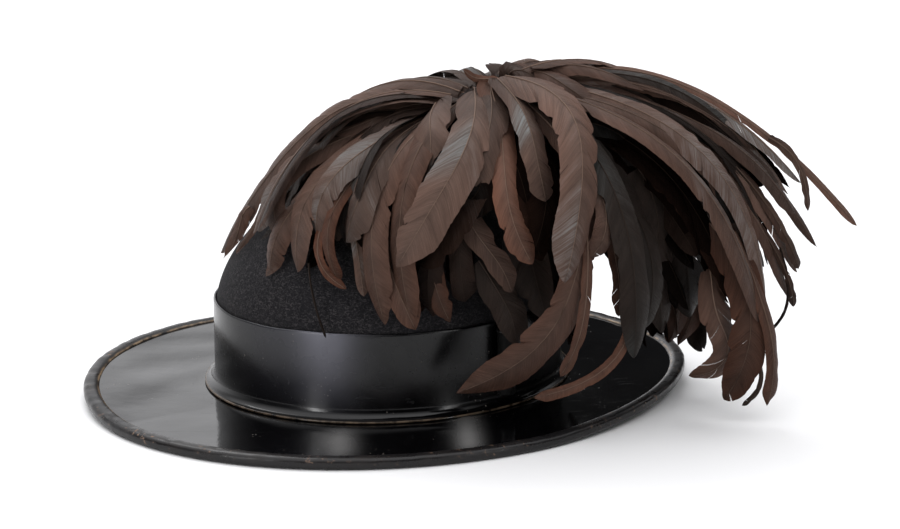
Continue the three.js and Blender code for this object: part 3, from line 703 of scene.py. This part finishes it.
class Feather:
    """One feather: a bent quill and two vanes, whose rows are barbs that part here and there."""

    def __init__(self, root, middle, tip, width, tone, red, sheen, lean, roll, taper, root_share):
        self.root, self.tip = np.array(root, float), np.array(tip, float)
        self.pull = 2 * np.array(middle, float) - 0.5 * (self.root + self.tip)
        self.width, self.red, self.sheen = width, red, sheen
        self.lean, self.roll, self.root_share = lean, roll, root_share
        self.mark = draw.uniform(0, 50)
        self.sway = draw.normal(0, 0.13 * width)
        self.twist = draw.normal(0, 0.35)
        self.bow = draw.uniform(0.2, 0.45)
        line = self.frame_at(np.linspace(0, 1, 40))[0]
        self.length = np.linalg.norm(np.diff(line, axis=0), axis=1).sum()
        self.barb_rows = max(24, int(self.length / ROW_GAP))
        self.tip_share = min(0.6, width * taper * draw.uniform(0.8, 1.4) / self.length)
        self.light = np.clip(tone + draw.normal(0, 0.04), 0.02, 1)
        self.blunt = draw.uniform(0.1, 1.0)

    def frame_at(self, t):
        """Points along the quill, with the directions across the vanes and out of them."""
        t = t[..., None]
        at = (1 - t) ** 2 * self.root + 2 * t * (1 - t) * self.pull + t * t * self.tip
        along = unit(2 * (1 - t) * (self.pull - self.root) + 2 * t * (self.tip - self.pull))
        away = unit((at - HEAD_MIDDLE) * [1, 1, 0]) + np.array([0, -self.lean, LEAN])
        across = unit(np.cross(along, away))
        face = np.cross(across, along)
        at = at + across * self.sway * np.sin(2 * math.pi * t)
        turn = self.roll + self.twist * (t - 0.5)
        c, s = np.cos(turn), np.sin(turn)
        return at, across * c + face * s, face * c - across * s

    def outline(self, share):
        """How wide the vanes are along their length; a blunt tip is round, others are more pointed."""
        swell = np.clip((share + 0.15) / 0.5, 0, 1)
        swell = swell * swell * (3 - 2 * swell)
        tip = np.clip((share - 1 + self.tip_share) / self.tip_share, 0, 1)
        body = self.root_share + (1 - self.root_share) * swell
        return body * (1 - tip ** (1.3 + self.blunt)) ** (0.95 - 0.4 * self.blunt)

    def barb_ends(self, t, cuts, sweep):
        """Where barbs end along the quill, by where they start; at a cut they part a little."""
        end = t + sweep * (1 - np.maximum(t, 0) ** 5)
        part = np.zeros(len(t))
        for cut in cuts:
            gap = draw.uniform(0.05, 0.35) / self.length
            ahead = np.arange(len(t)) - cut - 0.5
            part = part + np.sign(ahead) * gap * np.exp(-np.abs(ahead) * ROW_GAP / 4.0)
        return np.minimum(end + part * (t < 0.97), 1.0)

    def barb_lengths(self, t, end, order, side):
        """Half widths by row: the outline, ragged and notched."""
        ragged = 1 + smooth_noise(t, 9, 0.07) + draw.normal(0, 0.012, len(t))
        half = self.width / 2 * self.outline(end) * ragged
        half = half * (0.95 if side > 0 else 1.05)
        notch_count = draw.integers(0, 2 + int(self.length / 22))
        for notch in draw.integers(0, self.barb_rows, notch_count):
            deep = draw.uniform(0.06, 0.34)
            broad = draw.uniform(0.7, 2.2)
            half = half * (1 - deep * np.exp(-((order - notch) / broad) ** 2))
        return half

    def looks(self, t, side):
        """Tone, redness and sheen by row."""
        shine = np.clip(self.sheen * (1 + smooth_noise(t, 6, 0.7)), 0, 1)
        # Past BRIGHT the sheen, and with it the painted glint, gathers round GLOW_AT, stronger on one vane
        if self.sheen > BRIGHT:
            shine = (1.1 if side > 0 else 0.5) * np.exp(-((t - GLOW_AT) / GLOW_SPREAD) ** 2)
        # Darker towards the root and the tip, paler in the middle: painted shade at the root where the
        # feathers crowd together, and the feathers' own darker tips
        paler = 0.4 * np.sin(math.pi * np.clip(t, 0, 1) ** 0.8)
        shade = self.light * (0.74 + paler + smooth_noise(t, 5, 0.09))
        return np.stack([np.maximum(shade, 0.01), np.full(len(t), self.red), shine], axis=-1)

    def vane(self, side):
        """The barbs of one side: points, quads, places along and across the feather, and looks."""
        reach = np.array(VANE_COLUMNS)
        cut_count = draw.integers(0, 3)
        doubled = draw.choice(np.arange(8, self.barb_rows - 3), cut_count, replace=False)
        order = np.sort(np.concatenate([np.arange(self.barb_rows), doubled]))
        cuts = np.flatnonzero(np.diff(order) == 0)
        sweep = self.width * draw.uniform(0.65, 0.9) / self.length
        t = np.linspace(-0.8 * sweep, 1, self.barb_rows)[order]
        end = self.barb_ends(t, cuts, sweep)
        at_share = t[:, None] + (end - t)[:, None] * reach[None] ** 1.25
        at, across, face = self.frame_at(np.maximum(at_share, 0))
        out = self.barb_lengths(t, end, order, side)[:, None] * reach[None]
        droop = self.bow + smooth_noise(t, 4, 0.08)
        sink = droop[:, None] * out * reach[None] + smooth_noise(t, 14, 0.25)[:, None] * reach[None]
        points = at + side * across * out[..., None] - face * sink[..., None]
        number = np.arange(out.size).reshape(out.shape)
        quads = np.stack([number[:-1, :-1], number[1:, :-1], number[1:, 1:], number[:-1, 1:]], axis=-1)
        whole = np.ones(len(quads), bool)
        whole[cuts] = False
        barb = np.stack(np.broadcast_arrays(t[:, None] * self.length, reach[None], self.mark), axis=-1)
        kind = np.repeat(self.looks(t, side), len(reach), axis=0)
        return off_hat(points.reshape(-1, 3), CLEAR), quads[whole].reshape(-1, 4), barb.reshape(-1, 3), kind

    def quill(self):
        t = np.linspace(0, 0.97, 20)
        at, _, face = self.frame_at(t)
        points, quads = tube(off_hat(at + face * 0.2, CLEAR + 0.3), 0.4 - 0.3 * t, 5)
        barb = np.tile([0.0, -1.0, self.mark], (len(points), 1))
        return points, quads, barb, np.tile([self.light, self.red, 0.0], (len(points), 1))


def feather(into, root, middle, tip, width, tone, red, sheen, lean=LEAN, roll=0.0, taper=0.9,
            root_share=ROOT_SHARE):
    one = Feather(root, middle, tip, width, tone, red, sheen, lean, roll, taper, root_share)
    for side in (-1, 1):
        into.put(*one.vane(side))
    into.put(*one.quill())


def in_gap(root, middle, tip, width):
    """Whether a feather would close the slit at the crown's right, or hang low before the band."""
    t = np.linspace(0, 1, 25)[:, None]
    pull = 2 * middle - 0.5 * (root + tip)
    line = (1 - t) ** 2 * root + 2 * t * (1 - t) * pull + t * t * tip
    aside = line[:, 0] - (SLIT_X + SLIT_LEAN_Y * line[:, 1] + SLIT_LEAN_Z * line[:, 2])
    height = line[:, 2] + SLIT_DROP_Y * line[:, 1]
    slit = np.any((np.abs(aside) < SLIT_HALF + width / 2) & (height > SLIT_LOW) & (height < SLIT_HIGH))
    over_brim = BARE_FROM < tip[0] < BARE_TO and tip[1] < BARE_FRONT and tip[2] < BARE_HIGH
    return slit or over_brim


def seat(share):
    return HEAD_FROM + share * (HEAD_TO - HEAD_FROM)


def filler(into, table, inner, taper, tones, thin):
    """A feather between two neighbours of a group, just beside them, or inside the bush and near black as
    painted shade.
    """
    row = table[draw.integers(len(table))]
    nearest = np.argsort(np.linalg.norm(table[:, 4:7] - row[4:7], axis=1))
    other = table[nearest[draw.integers(1, 4)]]
    mixed = row + draw.uniform(0.2, 0.8) * (other - row)
    depth = draw.uniform(*(INNER_DEPTHS if inner else BESIDE_DEPTHS))
    root = seat(mixed[0] + draw.normal(0, 0.04)) + ROOT_DROP - [0, 0, 0.25 * depth]
    middle = mixed[1:4] + draw.normal(0, 2.5, 3)
    if inner:
        root = root + INNER_DROP
        middle = middle - [0, 0, 0.5 * depth]
    end = middle + (mixed[4:7] + draw.normal(0, 3.5, 3) - middle) * draw.uniform(0.72, 1.0)
    inward = unit((HEAD_MIDDLE - end) * [1, 1, 0.2]) * depth
    if inner:
        tone = draw.uniform(*INNER_SHADE_TONES)
    else:
        tone = tones[0] + (tones[1] - tones[0]) * draw.uniform(0, 1) ** 2
    if in_gap(root, middle + inward, end + inward, mixed[7]):
        return
    width = mixed[7] * draw.uniform(*(INNER_WIDTHS if inner else (thin, 0.9)))
    sheen = mixed[10] * draw.uniform(0.2, 1.3)
    feather(into, root, middle + inward, end + inward, width, mixed[8] * tone, mixed[9], sheen,
            roll=draw.normal(0, 0.3), taper=taper)


def fall(name, rows, beside, under, taper, drop=ROOT_DROP, root_share=ROOT_SHARE,
         tones=(0.06, 0.8), thin=0.5):
    """A group of feathers: each row's own, others between neighbours, and a near-black layer inside as
    painted shade.
    """
    group, inside = Plumage(), Plumage()
    table = np.array(rows, float)
    for row in table:
        root = seat(row[0]) + draw.normal(0, 1.2, 3) + drop
        feather(group, root, row[1:4], row[4:7], *row[7:], roll=draw.normal(0, 0.15), taper=taper,
                root_share=root_share)
    for _ in range(beside):
        filler(group, table, False, taper * 1.2, tones, thin)
    for _ in range(under):
        filler(inside, table, True, taper * 1.2, tones, thin)
    group.build(name, barbs)
    if under:
        inside.build(name + "_inside", inner_barbs)


fall("plume_left", LEFT, beside=14, under=24, taper=1.1)
fall("plume_front", FRONT, beside=0, under=20, taper=0.8, drop=FRONT_DROP, root_share=0.95)
fall("plume_right", RIGHT, beside=30, under=28, taper=1.5, tones=(0.02, 0.8), thin=0.3)
fall("plume_under", UNDER, beside=0, under=16, taper=1.2)

strays = Plumage()
for row in STRAYS:
    root, middle, tip, looks = row[0:3], row[3:6], row[6:9], row[9:]
    feather(strays, root, middle, tip, *looks, lean=STRAY_LEAN, roll=draw.normal(0, 0.12), taper=1.0)
for _ in range(STUB_COUNT):
    foot = seat(draw.uniform(-0.1, 0.6)) + np.array([draw.normal(0, 3.0), draw.uniform(-10, 6), -3.0])
    upward = unit(np.array([draw.normal(-0.3, 0.9), draw.normal(-0.2, 0.6), 1.0]))
    rise = np.linspace(0, draw.uniform(3, 9), len(STUB_RADII))
    points, quads = tube(foot + upward * rise[:, None], STUB_RADII, 6)
    barb = np.tile([0.0, 0.0, 1.0], (len(points), 1))
    strays.put(points, quads, barb, np.tile([0.2, 0.6, 0.0], (len(points), 1)))
strays.build("plume_strays", barbs)

fall("plume_cap", CAP, beside=8, under=0, taper=1.2, tones=(0.6, 1.0))

# Near-black feathers inside the bush: painted shade
thicket = Plumage()
for count, sector, lows, outs in THICKETS:
    for _ in range(count):
        angle = math.radians(draw.uniform(*sector))
        low = draw.uniform(*lows)
        out = draw.uniform(*outs)
        root = seat(draw.uniform(0.35, 1.0)) + 1.6 * ROOT_DROP
        end = root * [1, 1, 0] + np.array([math.cos(angle) * out, math.sin(angle) * out, low])
        middle = root + (end - root) * [0.62, 0.62, 0.45] + [0, 0, 2.0]
        if in_gap(root, middle, end, sum(THICKET_WIDTHS) / 2):
            continue
        width = draw.uniform(*THICKET_WIDTHS)
        tone = draw.uniform(*THICKET_SHADE_TONES)
        red = draw.uniform(0, 0.5)
        sheen = draw.uniform(0, 0.5)
        feather(thicket, root, middle, end, width, tone, red, sheen, roll=draw.normal(0, 0.5), taper=1.3)
thicket.build("plume_inside", inner_barbs)

far = Plumage()
for index in range(FAR_COUNT):
    share = index / (FAR_COUNT - 1)
    angle = math.radians(FAR_FROM + (FAR_TO - FAR_FROM) * share + draw.normal(0, 5.0))
    outward = np.array([math.cos(angle), math.sin(angle), 0])
    longer = FAR_LENGTHS[index % len(FAR_LENGTHS)] * draw.uniform(0.9, 1.05)
    root = seat(1 - share) - [0, 0, FAR_SUNK[index % len(FAR_SUNK)]]
    middle = root + outward * FAR_OUT * longer - [0, 0, FAR_DROP / 8]
    end = root + outward * FAR_REACH * longer - [0, 0, FAR_DROP * longer]
    width = draw.uniform(8, 17)
    tone = draw.uniform(0.15, 0.62)
    red = draw.uniform(0.2, 0.7)
    sheen = draw.uniform(0, 0.5)
    feather(far, root, middle, end, width, tone, red, sheen, lean=0.0, roll=draw.normal(0, 0.3))
far.build("plume_far", barbs)

# Head: thread wound round the quills, and the stem that stands in the socket
HEAD_PAST, HEAD_RADIUS, HEAD_SUNK, HEAD_STEPS = 7.0, 4.0, 10.0, 90
THREAD_HIGH, THREAD_TURNS = 0.35, 150
STEM_HEIGHTS = (20, 50, 84, 118)
STEM_RADIUS, STEM_STEPS = 2.8, 60
turns = np.linspace(0, 1, HEAD_STEPS)
past = unit(HEAD_TO - HEAD_FROM) * HEAD_PAST
head_line = (HEAD_FROM - past)[None] * (1 - turns[:, None]) + (HEAD_TO + past)[None] * turns[:, None]
head_radius = HEAD_RADIUS * np.sqrt(np.sin(math.pi * np.clip(turns, 0.02, 0.98)))
head_radius = head_radius + THREAD_HIGH * np.sin(THREAD_TURNS * turns)
points, quads = tube(head_line + ROOT_DROP - [0, 0, HEAD_SUNK], head_radius, 20)
put_mesh("plume_binding", points, quads, thread, "plume")
knots = [stem_point(z) for z in STEM_HEIGHTS]
knots.append((knots[-1] + HEAD_MIDDLE) / 2 + [2, -2, 0])
knots.append(HEAD_MIDDLE + ROOT_DROP - [0, 0, 8])
steps = np.linspace(0, len(knots) - 1, STEM_STEPS)
columns = [np.interp(steps, np.arange(len(knots)), column) for column in np.transpose(knots)]
stem_line = np.stack(columns, axis=-1)
points, quads = tube(stem_line, STEM_RADIUS + 0.2 * np.sin(steps * 30), 14)
put_mesh("plume_stem", points, quads, thread, "plume")

# A plain pale floor
FLOOR_HALF, FLOOR_GREY = 8.0, 0.8
floor_mesh = bpy.data.meshes.new("floor")
corners = [(x * FLOOR_HALF, y * FLOOR_HALF, 0) for x, y in ((-1, -1), (1, -1), (1, 1), (-1, 1))]
floor_mesh.from_pydata(corners, [], [(0, 1, 2, 3)])
floor = bpy.data.objects.new("floor", floor_mesh)
bpy.context.scene.collection.objects.link(floor)
floor_mat, _, floor_shader = new_material("pale_floor")
floor_shader.inputs["Base Color"].default_value = (FLOOR_GREY, FLOOR_GREY, FLOOR_GREY, 1)
floor_shader.inputs["Roughness"].default_value = 0.9
floor_shader.inputs["Specular IOR Level"].default_value = 0.0
floor_mesh.materials.append(floor_mat)

# Soft studio light: a dome above, a pale screen low at the back left, and three soft lamps
world = bpy.data.worlds.new("studio")
bpy.context.scene.world = world
world.use_nodes = True
tree = world.node_tree
sky = tree.nodes["Background"]
towards = add(tree, "ShaderNodeTexCoord").outputs["Generated"]
rightward, backward, upward = add(tree, "ShaderNodeSeparateXYZ", {0: towards}).outputs
side = ramp(tree, rightward, 0.04, -0.06, 0.02, 1.32)
back = ramp(tree, backward, -0.1, 0.7, 0.06, 1.0)
low = ramp(tree, upward, 0.5, 0.35)
above = ramp(tree, upward, 0.4, 0.8, 0.0, 2.1)
screen = math_node(tree, "MULTIPLY", math_node(tree, "MULTIPLY", side, back), low)
tree.links.new(math_node(tree, "ADD", screen, above), sky.inputs["Strength"])
sky.inputs["Color"].default_value = (0.98, 0.98, 1.0, 1)


def aim_at(obj, where, aim):
    """Puts a lamp or camera at a place in metres, turned to look at another."""
    obj.location = Vector(where)
    obj.rotation_euler = (Vector(aim) - Vector(where)).to_track_quat("-Z", "Y").to_euler()
    bpy.context.scene.collection.objects.link(obj)


def soft_light(name, where, aim, size, power):
    lamp = bpy.data.lights.new(name, "AREA")
    lamp.shape = "RECTANGLE"
    lamp.size, lamp.size_y = size
    lamp.energy = power
    aim_at(bpy.data.objects.new(name, lamp), where, aim)


soft_light("key", where=(-0.6, 1.1, 1.9), aim=(0, 0, 0.08), size=(1.2, 1.0), power=12)
soft_light("front_left", where=(-1.05, -1.3, 0.42), aim=(0, 0, 0.05), size=(0.22, 0.8), power=7)
soft_light("front_right", where=(1.2, -1.3, 0.42), aim=(0, 0, 0.05), size=(0.16, 0.8), power=3)
bpy.context.scene.view_settings.view_transform = "Standard"

# Camera, before the side that the plume drapes and a little above the hat
EYE = np.array([0.0, -1356.5, 419.9])
AIM = np.array([35.0, 19.0, 62.0])
camera_data = bpy.data.cameras.new("camera")
camera_data.sensor_width = 36.0
camera_data.lens = 100.0
camera_data.clip_end = 60
camera = bpy.data.objects.new("camera", camera_data)
aim_at(camera, (EYE + AXIS) * MM, (AIM + AXIS) * MM)
bpy.context.scene.camera = camera
